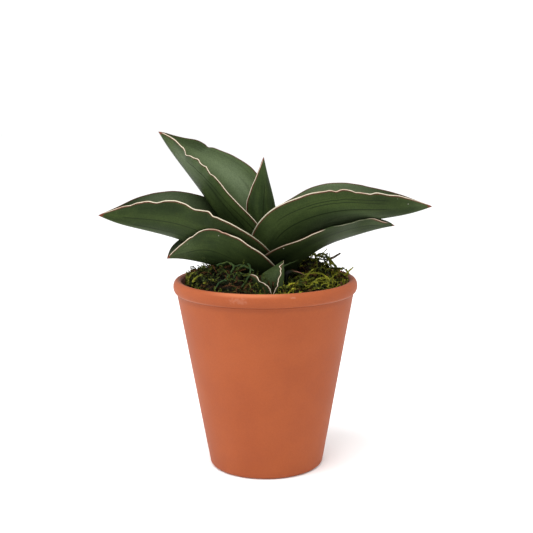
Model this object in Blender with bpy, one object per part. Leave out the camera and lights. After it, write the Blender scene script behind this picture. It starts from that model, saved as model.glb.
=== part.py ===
import math

import bmesh
import bpy
import numpy as np
from mathutils import Vector, noise

# A potted snake plant: six folded leaves in two ranks that clasp one another at
# the base, a pup with small leaves, moss and soil, in a clay pot with a rolled rim.
# Metres, +Z up. The origin is the middle of the pot's base. -Y is the front.

# Clay pot
POT_HEIGHT = 0.135
RIM_CREST_RADIUS = 0.062
RIM_BULGE = 0.003
RIM_DEPTH = 0.009
RIM_INNER_RADIUS = 0.0593
BASE_RADIUS = 0.041
BASE_ROUNDING = 0.003
NECK_RADIUS = 0.0627
WALL = 0.005
FLOOR = 0.007
DRAIN_RADIUS = 0.006
TURNED_STEPS = 48

# What fills the pot
GAP = 0.0003
SOIL_TOP = 0.1177
CROWN_RADIUS = 0.0185
CROWN_DEPTH = 0.009
RUNNER_WIDTH = 0.008
PUP_PLACE = (0.004, -0.043)
PUP_CROWN_RADIUS = 0.0105
PUP_SPACE_PLACE = (0.004, -0.040)
PUP_SPACE_RADIUS = 0.0145
MOSS_INNER_RADIUS = 0.0215
MOSS_EDGE = 0.004
MOSS_RISE = 0.0145
MOSS_LUMP = 0.003

# Leaf tissue: thick at the keel, thin at the margins and in the clasping sheath,
# which is the lowest part of the leaf. A section is an arc at the base and nearly
# a V above, bending within a share of the half width next to the keel.
KEEL_THICKNESS = 0.0030
EDGE_THICKNESS = 0.0008
SHEATH_THICKNESS = 0.0013
SHEATH_SHARE = 0.3
KEEL_TO_WIDTH = 0.2
EDGE_TO_WIDTH = 0.14
BEND_SHARE = 0.3
SECTION_ROUNDNESS = (1, 0.6, 0.4, 0.35, 0.35)
POINT_BLUNTNESS = 0.9
POINT_TAPER = 0.12
LEAF_STATIONS = 20
ACROSS = (-1, -0.7, -0.4, -0.17, 0, 0.17, 0.4, 0.7, 1)
PUP_STATIONS = 10
PUP_ACROSS = (-1, -0.5, 0, 0.5, 1)

# Moss pads, each from one bearing to another, with a seam between neighbours
MOSS_SEAM = 0.8
MOSS_PADS = (
    ("moss_back_right", 10, 92),
    ("moss_back_left", 92, 172),
    ("moss_front_left", 172, 275),
    ("moss_front_right", 275, 370),
)

# Each main leaf runs from its base round the plant's axis to its tip. Widths are
# half the flattened blade, and the lists are spread evenly along the length, in
# degrees: where the keel heads seen from above, how steeply it climbs, how far it
# turns about itself, and how far each side is folded up from the keel.
LEAVES = {
    "leaf_spear": dict(
        sheath=0.0032, length=0.104, half_width=0.023, widest=0.66,
        heading=(0, -11, -17, 1), climb=(81, 81, 93, 103, 102),
        turn=(0, 0, -1, 0), fold=(103, 108, 108, 79, 42), round_to=0.6),
    "leaf_left_back": dict(
        sheath=0.0058, length=0.146, half_width=0.042, widest=0.53,
        heading=(164, 152, 150, 167), climb=(78, 68, 52, 48, 46, 59),
        turn=(8, 2, 0, 3), fold=(113, 114, 76, 68, 57, 69)),
    "leaf_right_long": dict(
        sheath=0.0083, length=0.141, half_width=0.043, widest=0.36,
        heading=(-7, -7, 0, -3), climb=(73, 67, 31, 9, 9, 21),
        turn=(-2, 0, 1, 1), fold=(124, 108, 77, 71, 78, 124)),
    "leaf_left_long": dict(
        sheath=0.0108, length=0.131, half_width=0.044, widest=0.44,
        heading=(199, 183, 184, 203), climb=(85, 46, 27, 17, 15, 28),
        turn=(4, -1, -4, -4), fold=(123, 80, 65, 75, 88, 118)),
    "leaf_right_low": dict(
        sheath=0.0133, length=0.103, half_width=0.039, widest=0.32,
        heading=(-9, -4, 5, 5), climb=(79, 60, 37, 18, 15, 8),
        turn=(-2, 1, -2, 3), fold=(121, 78, 42, 40, 50, 51)),
    "leaf_left_low": dict(
        sheath=0.0158, length=0.071, half_width=0.038, widest=0.55,
        heading=(205, 197, 175, 202), climb=(83, 59, 34, 15, 10, 1),
        turn=(1, 3, 8, 0), fold=(123, 70, 57, 64, 59, 71)),
}

# The pup's own small leaves, and two slight ones beside it. The left half of the
# right one is wider, by the share listed along it.
PUP_LEAVES = {
    "pup_leaf_right": dict(
        place=(0.0078, -0.0420), sheath=0.0024, length=0.0360, half_width=0.0130, widest=0.42,
        heading=(26, 26, 26, 26), climb=(84, 83, 86, 92),
        turn=(0, 0, 0, 0), fold=(112, 86, 62, 54), left_share=(1, 1, 1.15, 1.35, 1.1)),
    "pup_leaf_left": dict(
        place=PUP_PLACE, sheath=0.0080, length=0.029, half_width=0.0095, widest=0.45,
        heading=(208, 204, 195, 180), climb=(88, 80, 70, 60),
        turn=(0, 0, 0, 0), fold=(85, 72, 66, 60)),
    "pup_leaf_slender": dict(
        place=(0.0096, -0.0335), sheath=0.0012, length=0.042, half_width=0.0020, widest=0.4,
        heading=(10, 10, 5, 5), climb=(90, 90, 90, 90, 90, 84, 30, 27, 25),
        turn=(0, 0, 0, 0), fold=(100, 80, 60, 50)),
    "pup_leaf_small": dict(
        place=(0.0136, -0.0395), sheath=0.0014, length=0.037, half_width=0.005, widest=0.45,
        heading=(60, 50, 25, 10), climb=(88, 88, 88, 88, 88, 70, 10, -12, -20),
        turn=(0, 0, 0, 0), fold=(110, 75, 60, 50)),
}


def make_material(name, colour, roughness):
    material = bpy.data.materials.new(name)
    material.use_nodes = True
    shader = material.node_tree.nodes["Principled BSDF"]
    shader.inputs["Base Color"].default_value = (*colour, 1)
    shader.inputs["Roughness"].default_value = roughness
    shader.inputs["Metallic"].default_value = 0
    material.diffuse_color = (*colour, 1)
    return material


def make_object(name, vertices, faces, material):
    mesh = bpy.data.meshes.new(name)
    mesh.from_pydata([tuple(v) for v in vertices], [], faces)
    cleaned = bmesh.new()
    cleaned.from_mesh(mesh)
    bmesh.ops.recalc_face_normals(cleaned, faces=cleaned.faces)
    cleaned.to_mesh(mesh)
    cleaned.free()
    mesh.shade_smooth()
    mesh.set_sharp_from_angle(angle=math.radians(40))
    mesh.materials.append(material)
    piece = bpy.data.objects.new(name, mesh)
    bpy.context.scene.collection.objects.link(piece)
    return piece


def eased(values, places):
    """Values spread evenly over 0 to 1, read at the places with a smooth curve."""
    values = np.asarray(values, float)
    last = len(values) - 1
    x = np.clip(places, 0, 1) * last
    i = np.minimum(x.astype(int), last - 1)
    t = x - i
    before = values[np.maximum(i - 1, 0)]
    start = values[i]
    end = values[i + 1]
    after = values[np.minimum(i + 2, last)]
    leave = (end - before) / 2
    arrive = (after - start) / 2
    return (
        (2 * t**3 - 3 * t**2 + 1) * start
        + (t**3 - 2 * t**2 + t) * leave
        + (3 * t**2 - 2 * t**3) * end
        + (t**3 - t**2) * arrive
    )


def blade_outline(places, base, widest):
    """Half width along the leaf, as a share of the widest: sheath, belly, point."""
    rising = base + (1 - base) * np.sin(np.clip(places / widest, 0, 1) * math.pi / 2)
    x = np.clip((places - widest) / (1 - widest), 0, 1)
    falling = (1 - x**2) ** POINT_BLUNTNESS * (1 - POINT_TAPER * x)
    return np.where(places < widest, rising, falling)


def folded_section(fold, roundness, across):
    """Outer face of one side of a section of unit half width: points and slopes."""
    steps = np.linspace(0, 1, 65)
    sharp = np.tanh(steps / BEND_SHARE) / math.tanh(1 / BEND_SHARE)
    slope = fold * (roundness * steps + (1 - roundness) * sharp)
    middle = (slope[1:] + slope[:-1]) / 2
    out = np.concatenate([[0], np.cumsum(np.cos(middle) * np.diff(steps))])
    up = np.concatenate([[0], np.cumsum(np.sin(middle) * np.diff(steps))])
    return [
        np.interp(across, steps, out),
        np.interp(across, steps, up),
        np.interp(across, steps, slope),
    ]


def leaf_shape(leaf, stations, across):
    """Closed leaf blade: a ring of points at each station, and one point at the tip."""
    places = np.linspace(0, 1, stations + 1)
    fine = np.linspace(0, 1, 241)
    heading = np.radians(eased(leaf["heading"], fine))
    climb = np.radians(eased(leaf["climb"], fine))
    run = np.stack([
        np.cos(climb) * np.cos(heading), np.cos(climb) * np.sin(heading), np.sin(climb)
    ], 1)
    path = np.zeros((len(fine), 3))
    path[1:] = np.cumsum((run[1:] + run[:-1]) / 2 * leaf["length"] / 240, 0)
    way = math.radians(leaf["heading"][0])
    centre = leaf.get("place", (0, 0))
    path += (
        centre[0] + leaf["sheath"] * math.cos(way),
        centre[1] + leaf["sheath"] * math.sin(way),
        SOIL_TOP + GAP,
    )
    keel = np.stack([np.interp(places, fine, path[:, k]) for k in range(3)], 1)
    heading = np.radians(eased(leaf["heading"], places))
    climb = np.radians(eased(leaf["climb"], places))
    turn = np.radians(eased(leaf["turn"], places))
    fold = np.radians(eased(leaf["fold"], places))
    roundness = np.maximum(eased(SECTION_ROUNDNESS, places), leaf.get("round_to", 0))
    # The cut base stands level on the crown.
    climb[0] = math.pi / 2
    turn[0] = 0
    base = leaf["sheath"] * fold[0] / leaf["half_width"]
    width = leaf["half_width"] * blade_outline(places, base, leaf["widest"])
    left_share = eased(leaf.get("left_share", (1, 1)), places)
    vertices = []
    for i in range(stations):
        ahead = np.array([
            math.cos(climb[i]) * math.cos(heading[i]),
            math.cos(climb[i]) * math.sin(heading[i]),
            math.sin(climb[i]),
        ])
        inward = np.array([
            -math.sin(climb[i]) * math.cos(heading[i]),
            -math.sin(climb[i]) * math.sin(heading[i]),
            math.cos(climb[i]),
        ])
        sideways = np.cross(ahead, inward)
        inner = inward * math.cos(turn[i]) + sideways * math.sin(turn[i])
        side = sideways * math.cos(turn[i]) - inward * math.sin(turn[i])
        in_sheath = max(0, 1 - places[i] / SHEATH_SHARE)
        keel_depth = KEEL_THICKNESS + (SHEATH_THICKNESS - KEEL_THICKNESS) * in_sheath
        keel_depth = min(keel_depth, KEEL_TO_WIDTH * width[i])
        edge_depth = min(EDGE_THICKNESS, EDGE_TO_WIDTH * width[i])
        outer_ring = []
        inner_ring = []
        for u in across:
            out, up, slope = folded_section(fold[i], roundness[i], abs(u))
            hand = 1 if u > 0 else -1
            depth = edge_depth + (keel_depth - edge_depth) * (1 - abs(u) ** 1.5)
            reach = width[i] * (1 if u > 0 else left_share[i])
            point = keel[i] + reach * (hand * out * side + up * inner)
            normal = math.cos(slope) * inner - hand * math.sin(slope) * side
            outer_ring.append(point)
            inner_ring.append(point + depth * normal)
        vertices += outer_ring + inner_ring[::-1]
    vertices.append(keel[-1])
    return vertices


def leaf_faces(stations, ring):
    """Quads between neighbouring rings, a strip across the base, a fan at the tip."""
    faces = []
    for i in range(stations - 1):
        for j in range(ring):
            k = (j + 1) % ring
            faces.append((i * ring + j, i * ring + k, (i + 1) * ring + k, (i + 1) * ring + j))
    for j in range(ring // 2 - 1):
        faces.append((j, ring - 1 - j, ring - 2 - j, j + 1))
    last = (stations - 1) * ring
    for j in range(ring):
        faces.append((last + j, last + (j + 1) % ring, stations * ring))
    return faces


def turned(name, profile, material, steps=TURNED_STEPS):
    """Solid turned about Z from an outline of radii and heights, outer side first."""
    closed = profile[0][0] > 0
    shape = bmesh.new()
    rings = []
    for radius, height in profile:
        if radius == 0:
            rings.append([shape.verts.new((0, 0, height))] * steps)
            continue
        rings.append([
            shape.verts.new((
                radius * math.cos(2 * math.pi * s / steps),
                radius * math.sin(2 * math.pi * s / steps),
                height,
            ))
            for s in range(steps)
        ])
    pairs = list(zip(rings, rings[1:]))
    if closed:
        pairs.append((rings[-1], rings[0]))
    for lower, upper in pairs:
        for s in range(steps):
            after = (s + 1) % steps
            corners = [lower[s], lower[after], upper[after], upper[s]]
            corners = [c for n, c in enumerate(corners) if c not in corners[:n]]
            shape.faces.new(corners)
    bmesh.ops.recalc_face_normals(shape, faces=shape.faces)
    mesh = bpy.data.meshes.new(name)
    shape.to_mesh(mesh)
    shape.free()
    mesh.shade_smooth()
    mesh.set_sharp_from_angle(angle=math.radians(40))
    mesh.materials.append(material)
    piece = bpy.data.objects.new(name, mesh)
    bpy.context.scene.collection.objects.link(piece)
    return piece


def wall_radius(height):
    """Outer radius of the pot's straight side at a height."""
    share = (height - BASE_ROUNDING) / (POT_HEIGHT - RIM_DEPTH - BASE_ROUNDING)
    return BASE_RADIUS + (NECK_RADIUS - BASE_RADIUS) * share


def inner_radius(height):
    return wall_radius(height) - WALL


def make_pot():
    profile = [(DRAIN_RADIUS, 0), (BASE_RADIUS - BASE_ROUNDING, 0)]
    for degrees in (30, 60, 90):
        angle = math.radians(degrees)
        profile.append((
            BASE_RADIUS - BASE_ROUNDING + BASE_ROUNDING * math.sin(angle),
            BASE_ROUNDING - BASE_ROUNDING * math.cos(angle),
        ))
    bead_middle = POT_HEIGHT - RIM_DEPTH / 2
    for degrees in (-80, -50, -25, 0, 25, 50, 72, 90):
        angle = math.radians(degrees)
        profile.append((
            RIM_CREST_RADIUS + RIM_BULGE * math.cos(angle),
            bead_middle + RIM_DEPTH / 2 * math.sin(angle),
        ))
    profile.append((RIM_INNER_RADIUS + 0.0009, POT_HEIGHT - 0.0008))
    profile.append((RIM_INNER_RADIUS, POT_HEIGHT - 0.003))
    profile.append((inner_radius(0.122), 0.122))
    profile.append((inner_radius(FLOOR), FLOOR))
    profile.append((DRAIN_RADIUS, FLOOR))
    return turned("pot", profile, make_material("terracotta", (0.55, 0.19, 0.08), 0.85))


def prism(name, x, y, low, high, radius=None, steps=24, box=None):
    """Upright cylinder or box, as a bmesh in a new mesh object."""
    shape = bmesh.new()
    if box is None:
        bmesh.ops.create_cone(
            shape, cap_ends=True, segments=steps, radius1=radius, radius2=radius, depth=high - low)
    else:
        bmesh.ops.create_cube(shape, size=1)
        bmesh.ops.scale(shape, vec=(box[0], box[1], high - low), verts=shape.verts)
    bmesh.ops.translate(shape, vec=(x, y, (low + high) / 2), verts=shape.verts)
    mesh = bpy.data.meshes.new(name)
    shape.to_mesh(mesh)
    shape.free()
    piece = bpy.data.objects.new(name, mesh)
    bpy.context.scene.collection.objects.link(piece)
    return piece


def hide(helper):
    helper.hide_render = True
    helper.display_type = "WIRE"


def combine(piece, helper, operation):
    modifier = piece.modifiers.new(helper.name, "BOOLEAN")
    modifier.operation = operation
    modifier.solver = "EXACT"
    modifier.object = helper
    hide(helper)


def crown_pieces(name, grow, low, high):
    """The crown, the pup's crown and the runner between, each grown by a margin."""
    runner_length = -PUP_PLACE[1]
    return [
        prism(name + "_main", 0, 0, low, high, radius=CROWN_RADIUS + grow),
        prism(name + "_pup", *PUP_PLACE, low, high, radius=PUP_CROWN_RADIUS + grow),
        prism(name + "_runner", PUP_PLACE[0] / 2, PUP_PLACE[1] / 2, low, high,
              box=(RUNNER_WIDTH + 2 * grow, runner_length)),
    ]


def make_soil_and_rhizome():
    soil_colour = make_material("soil", (0.045, 0.03, 0.02), 0.95)
    low = FLOOR + GAP
    soil = turned("soil", [
        (0, low),
        (inner_radius(low) - GAP, low),
        (inner_radius(SOIL_TOP) - GAP, SOIL_TOP),
        (0, SOIL_TOP),
    ], soil_colour)
    pocket = crown_pieces("pocket", GAP, SOIL_TOP - CROWN_DEPTH - GAP, SOIL_TOP + 0.01)
    for cutter in pocket:
        combine(soil, cutter, "DIFFERENCE")
    crown = crown_pieces("crown", 0, SOIL_TOP - CROWN_DEPTH, SOIL_TOP)
    rhizome = crown[0]
    rhizome.name = "rhizome"
    rhizome.data.materials.append(make_material("rhizome", (0.42, 0.3, 0.16), 0.7))
    for part in crown[1:]:
        combine(rhizome, part, "UNION")


def moss_top(x, y):
    """Height of the moss, a lumpy sheet that sinks towards the rim and the crown."""
    radius = math.hypot(x, y)
    lump = noise.noise(Vector((x, y, 0.0)) * 60) * MOSS_LUMP
    near_edge = min(1, (0.0575 - radius) / 0.008, (radius - 0.0195) / 0.008)
    return SOIL_TOP + GAP + MOSS_EDGE + (MOSS_RISE + lump) * max(0, near_edge) ** 0.5


def make_moss(name, start, end, material):
    """One pad of moss: a sector of the ring between the leaves and the rim."""
    steps = 9
    rows = 5
    bottom = SOIL_TOP + GAP
    vertices = []
    for a in range(steps + 1):
        for b in range(rows + 1):
            angle = math.radians(start + (end - start) * a / steps)
            outer = inner_radius(bottom) - 2 * GAP
            radius = MOSS_INNER_RADIUS + (outer - MOSS_INNER_RADIUS) * b / rows
            x = radius * math.cos(angle)
            y = radius * math.sin(angle)
            vertices.append((x, y, moss_top(x, y)))
            vertices.append((x, y, bottom))
    across = 2 * (rows + 1)
    faces = []
    for a in range(steps):
        for b in range(rows):
            top = a * across + 2 * b
            faces.append((top, top + 2, top + across + 2, top + across))
            faces.append((top + 1, top + across + 1, top + across + 3, top + 3))
    for a in (0, steps):
        for b in range(rows):
            top = a * across + 2 * b
            faces.append((top, top + 1, top + 3, top + 2))
    for a in range(steps):
        for b in (0, rows):
            top = a * across + 2 * b
            faces.append((top, top + across, top + across + 1, top + 1))
    return make_object(name, vertices, faces, material)


def make_all_moss():
    """Four pads round the leaves. The front two leave room for the pup."""
    moss_green = make_material("moss", (0.09, 0.1, 0.02), 0.95)
    pup_space = prism(
        "pup_space", *PUP_SPACE_PLACE, SOIL_TOP - 0.01, SOIL_TOP + 0.04, radius=PUP_SPACE_RADIUS)
    hide(pup_space)
    for name, start, end in MOSS_PADS:
        pad = make_moss(name, start + MOSS_SEAM / 2, end - MOSS_SEAM / 2, moss_green)
        if name.startswith("moss_front"):
            combine(pad, pup_space, "DIFFERENCE")


def make_leaves(leaves, stations, across, material):
    for name, leaf in leaves.items():
        vertices = leaf_shape(leaf, stations, across)
        faces = leaf_faces(stations, 2 * len(across))
        make_object(name, vertices, faces, material)


def main():
    for old in list(bpy.data.objects):
        bpy.data.objects.remove(old)
    make_pot()
    make_soil_and_rhizome()
    leaf_green = make_material("leaf", (0.05, 0.11, 0.04), 0.45)
    make_leaves(LEAVES, LEAF_STATIONS, ACROSS, leaf_green)
    pup_green = make_material("pup_leaf", (0.07, 0.13, 0.05), 0.5)
    make_leaves(PUP_LEAVES, PUP_STATIONS, PUP_ACROSS, pup_green)
    make_all_moss()


main()
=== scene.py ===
import math

import bmesh
import bpy
import numpy as np
from mathutils import Matrix, Vector, noise
from mathutils.bvhtree import BVHTree


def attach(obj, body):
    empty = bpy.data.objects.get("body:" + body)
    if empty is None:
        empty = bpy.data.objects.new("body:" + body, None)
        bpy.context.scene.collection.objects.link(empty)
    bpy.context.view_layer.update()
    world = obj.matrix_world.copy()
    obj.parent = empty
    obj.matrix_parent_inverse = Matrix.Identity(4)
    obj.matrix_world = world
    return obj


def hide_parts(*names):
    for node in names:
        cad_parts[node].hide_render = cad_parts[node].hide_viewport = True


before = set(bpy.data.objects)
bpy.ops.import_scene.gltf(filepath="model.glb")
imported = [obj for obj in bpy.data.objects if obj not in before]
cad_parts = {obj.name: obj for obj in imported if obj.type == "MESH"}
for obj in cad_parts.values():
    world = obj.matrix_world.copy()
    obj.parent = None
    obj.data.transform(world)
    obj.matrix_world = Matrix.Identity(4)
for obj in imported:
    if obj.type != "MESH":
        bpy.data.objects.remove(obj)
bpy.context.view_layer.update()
print("frame loaded:", len(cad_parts), "nodes")

# noise vectors start from the clock unless they are given a seed
noise.seed_set(7)


# Node trees. New nodes go into the tree that was opened last.

opened = {}


class nodeOutput:
    # a node's output. A sum written with it becomes a Math node.
    def __init__(self, socket):
        self.socket = socket

    def __add__(self, other):
        return calc("ADD", self, other)

    def __sub__(self, other):
        return calc("SUBTRACT", self, other)

    def __rsub__(self, other):
        return calc("SUBTRACT", other, self)

    def __mul__(self, other):
        return calc("MULTIPLY", self, other)

    def __truediv__(self, other):
        return calc("DIVIDE", self, other)

    def __abs__(self):
        return calc("ABSOLUTE", self)


class nodeOutputs:
    # all outputs of a node, by name or number
    def __init__(self, sockets):
        self.sockets = sockets

    def __getitem__(self, key):
        return nodeOutput(self.sockets[key])


def fill(node, values):
    # gives inputs, by name or number, a value or another node's output
    for key, value in values.items():
        if isinstance(value, nodeOutput):
            opened["tree"].links.new(value.socket, node.inputs[key])
        else:
            node.inputs[key].default_value = value


def addNode(kind, values=None, **settings):
    node = opened["tree"].nodes.new(kind)
    for name, value in settings.items():
        setattr(node, name, value)
    fill(node, values or {})
    return nodeOutputs(node.outputs)


def shapeNode(kind, values=None, **settings):
    return addNode("GeometryNode" + kind, values, **settings)


def calc(operation, *values, clamp=False):
    return addNode("ShaderNodeMath", dict(enumerate(values)), operation=operation, use_clamp=clamp)[0]


def vectorCalc(operation, *values, scale=1.0):
    made = addNode("ShaderNodeVectorMath", dict(enumerate(values)) | {3: scale}, operation=operation)
    return made[1 if operation in ("LENGTH", "DISTANCE") else 0]


def remap(value, fromLow, fromHigh, toLow=0.0, toHigh=1.0):
    values = dict(enumerate((value, fromLow, fromHigh, toLow, toHigh)))
    return addNode("ShaderNodeMapRange", values, interpolation_type="SMOOTHSTEP")[0]


def between(value, start, full, fading, gone):
    return remap(value, start, full) * remap(value, gone, fading)


def noiseAt(place, scale, detail=2.0, roughness=0.5, output=0):
    values = {"Vector": place, "Scale": scale, "Detail": detail, "Roughness": roughness}
    return addNode("ShaderNodeTexNoise", values)[output]


def joined(x, y, z):
    return addNode("ShaderNodeCombineXYZ", {0: x, 1: y, 2: z})[0]


def split(vector):
    parts = addNode("ShaderNodeSeparateXYZ", {0: vector})
    return parts[0], parts[1], parts[2]


def openGroup(kind, name, inputs, outputs):
    # a group with named inputs, each given by its default number or the kind of its socket
    tree = bpy.data.node_groups.new(name, kind)
    for label, value in inputs.items():
        kindName = {int: "Int", float: "Float"}.get(type(value), value)
        socket = tree.interface.new_socket(label, in_out="INPUT", socket_type="NodeSocket" + kindName)
        if kindName != value:
            socket.default_value = value
    for label in outputs:
        kindName = "Geometry" if label == "Geometry" else "Float"
        tree.interface.new_socket(label, in_out="OUTPUT", socket_type="NodeSocket" + kindName)
    opened.update(tree=tree, end=tree.nodes.new("NodeGroupOutput"))
    return nodeOutputs(tree.nodes.new("NodeGroupInput").outputs)


def closeGroup(**results):
    fill(opened["end"], results)
    return opened["tree"]


# Shader groups that several finishes use

def makeGrainGroup():
    # fine bumps and broad shading from one place
    source = openGroup("ShaderNodeTree", "fineGrain", {
        "Place": "Vector", "Fine Scale": 2000.0, "Broad Scale": 40.0}, ("Height", "Shade"))
    return closeGroup(
        Height=noiseAt(source["Place"], source["Fine Scale"], 4, 0.6),
        Shade=noiseAt(source["Place"], source["Broad Scale"], 3, 0.55))


def makeSpeckGroup():
    # small round spots in a few of many cells
    source = openGroup("ShaderNodeTree", "fewSpecks", {
        "Place": "Vector", "Scale": 200.0, "Share": 0.05, "Size": 0.15}, ("Mask",))
    cells = addNode("ShaderNodeTexVoronoi", {"Vector": source["Place"], "Scale": source["Scale"]})
    pick = addNode("ShaderNodeSeparateColor", {0: cells["Color"]})[0]
    chosen = calc("LESS_THAN", pick, source["Share"])
    return closeGroup(Mask=chosen * remap(cells["Distance"], source["Size"], source["Size"] * 0.5))


def makeMarginGroup():
    # the pale band on a leaf's edge, and the thin brown lines beside it
    source = openGroup("ShaderNodeTree", "paleMargin", {
        "Distance": 0.0, "Inner Side": 0.0, "Band Width": 0.001, "Line Width": 0.0003}, ("Band", "Line"))
    distance, width, lineWidth = source["Distance"], source["Band Width"], source["Line Width"]
    soft = 0.00012
    outerSide = remap(source["Inner Side"], 0.2, 0.55, 1, 0)
    band = remap(distance, width - soft, width + soft, 1, 0)
    lineEnd = width + lineWidth
    outerLine = remap(distance, lineEnd, lineEnd + 0.0003, 1, 0) - band
    innerLine = remap(distance, 0, lineWidth, 1, 0)
    line = calc("ADD", outerLine * outerSide, innerLine * (1.0 - outerSide), clamp=True)
    return closeGroup(Band=band * outerSide, Line=line)


def makeStripeGroup():
    # fine lines that run the length of a leaf
    source = openGroup("ShaderNodeTree", "leafStripes", {
        "Along": 0.0, "Across": 0.0, "Leaf": 0.0, "Lines": 5.0}, ("Thin", "Broad", "Ribs"))
    place = joined(source["Across"] * source["Lines"], source["Along"] * 1.3, source["Leaf"])
    offLine = abs(noiseAt(place, 1, 1, 0.4) - 0.5)
    fade = remap(noiseAt(vectorCalc("SCALE", place, scale=0.9), 2.3), 0.42, 0.6)
    return closeGroup(
        Thin=remap(offLine, 0, 0.03, 1, 0) * fade,
        Broad=noiseAt(vectorCalc("MULTIPLY", place, (0.7, 1.6, 3)), 1),
        Ribs=noiseAt(vectorCalc("MULTIPLY", place, (9, 1, 1)), 1))


grainGroup = makeGrainGroup()
speckGroup = makeSpeckGroup()
marginGroup = makeMarginGroup()
stripeGroup = makeStripeGroup()


# Finishes

def useGroup(group, *values):
    return addNode("ShaderNodeGroup", dict(enumerate(values)), node_tree=group)


def openMaterial(name, **settings):
    material = bpy.data.materials.new(name)
    material.use_nodes = True
    shader = material.node_tree.nodes["Principled BSDF"]
    opened.update(tree=material.node_tree, shader=shader)
    fill(shader, {label.replace("_", " "): value for label, value in settings.items()})
    return material


def dressShader(base, roughness, height, depth, strength):
    bump = addNode("ShaderNodeBump", {"Height": height, "Distance": depth, "Strength": strength})[0]
    fill(opened["shader"], {"Base Color": base, "Roughness": roughness, "Normal": bump})


def colour(red, green, blue):
    return (red, green, blue, 1)


def blend(share, first, second, kind="MIX"):
    values = {0: share, 6: first, 7: second}
    return addNode("ShaderNodeMix", values, data_type="RGBA", blend_type=kind)[2]


def shaded(base, level):
    return blend(1, base, joined(level, level, level), "MULTIPLY")


def readAttribute(name):
    return addNode("ShaderNodeAttribute", attribute_name=name)["Fac"]


def objectPlace():
    return addNode("ShaderNodeTexCoord")["Object"]


leafFinish = dict(
    deep=colour(0.021, 0.035, 0.011),
    green=colour(0.046, 0.071, 0.019),
    # a pale grey-green for painted light, also the margin's colour near the base
    paintedLight=colour(0.112, 0.148, 0.078),
    stripe=colour(0.01, 0.016, 0.005),
    # painted highlight: the pale colour of line D, along a keel
    paleLine=colour(0.11, 0.13, 0.075),
    cream=colour(0.6, 0.55, 0.42),
    pink=colour(0.38, 0.19, 0.13),
    brown=colour(0.085, 0.029, 0.018),
    tip=colour(0.14, 0.038, 0.02),
    speck=colour(0.5, 0.46, 0.4),
    # the pale specks that can be seen (mm)
    speckPlaces=((-31, -34, 170), (-53, -25, 163), (91, -15, 192), (99, -11, 188)),
    # the long lines: colour, strength, and half their width (m)
    lines=dict(
        A=("stripe", 0.9, 0.0005), B=("stripe", 0.9, 0.0005), C=("stripe", 0.9, 0.0007),
        D=("paleLine", 0.6, 0.00045)),
)


def makeLeafMaterial(name, lineWidth, streaks, tipShare):
    values = leafFinish
    material = openMaterial(name, Specular_IOR_Level=0.05)
    place = objectPlace()
    along = readAttribute("along")
    toneAndShading = readAttribute("toneAndShading")
    bandWidth = readAttribute("bandWidth")
    stripes = useGroup(
        stripeGroup, along, readAttribute("across"), readAttribute("leafNumber"), streaks)
    grain = useGroup(grainGroup, place, 1300, 70)
    # green in soft streaks, finely mottled, with painted light laid on, and as light as the leaf's tone
    # with its painted shade says
    depth = calc("ADD", stripes["Broad"] * 0.7, grain["Shade"] * 0.4, clamp=True)
    skin = blend(remap(depth, 0.35, 0.75), values["deep"], values["green"])
    streaky = remap(stripes["Broad"], 0.3, 0.65, 0.75, 1.15)
    skin = blend(calc("MULTIPLY", readAttribute("paintedLight"), streaky, clamp=True), skin, values["paintedLight"])
    skin = shaded(skin, remap(grain["Height"], 0.25, 0.75, 0.8, 1.2) * toneAndShading)
    skin = blend(stripes["Thin"] * 0.3, skin, values["stripe"])
    for letter, (colourName, strength, reach) in values["lines"].items():
        line = remap(abs(readAttribute("line" + letter)), 0.0001, reach, strength, 0)
        skin = blend(line * readAttribute("show" + letter), skin, values[colourName])
    # the pale margin: pink in places, greener near the base in the pale green of the painted light, and
    # dulled by painted shade where the leaf is dark
    width = bandWidth * remap(noiseAt(place, 260), 0.3, 0.7, 0.32, 0.62)
    margin = useGroup(
        marginGroup, readAttribute("marginDistance"), readAttribute("innerSide"), width, lineWidth)
    flushed = remap(noiseAt(place, 110, 1) * 0.6 + readAttribute("flush"), 0.6, 1, 0, 0.85)
    band = blend(flushed, values["cream"], values["pink"])
    band = blend(remap(along, 0.42, 0.18, 0, 0.75), band, values["paintedLight"])
    band = shaded(band, remap(toneAndShading, 0.1, 0.5, 0.25, 1))
    skin = blend(margin["Band"], skin, band)
    lined = remap(bandWidth, -0.0001, 0.0002, 0, 0.95)
    skin = blend(margin["Line"] * lined, skin, values["brown"])
    skin = blend(remap(along, 0.972, 0.989, 0, tipShare), skin, values["tip"])
    specks = useGroup(speckGroup, place, 160, 0.012, 0.09)
    skin = blend(specks["Mask"] * 0.6, skin, values["speck"])
    for middle in values["speckPlaces"]:
        near = vectorCalc("DISTANCE", place, tuple(c / 1000 for c in middle))
        skin = blend(remap(near, 0.0002, 0.0005, 0.55, 0), skin, values["speck"])
    rough = margin["Band"] * 0.15 + (grain["Shade"] * 0.25 + 0.36)
    dressShader(skin, rough, grain["Height"] * 0.3 + stripes["Ribs"] * 0.5, 0.0004, 0.4)
    return material


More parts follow.
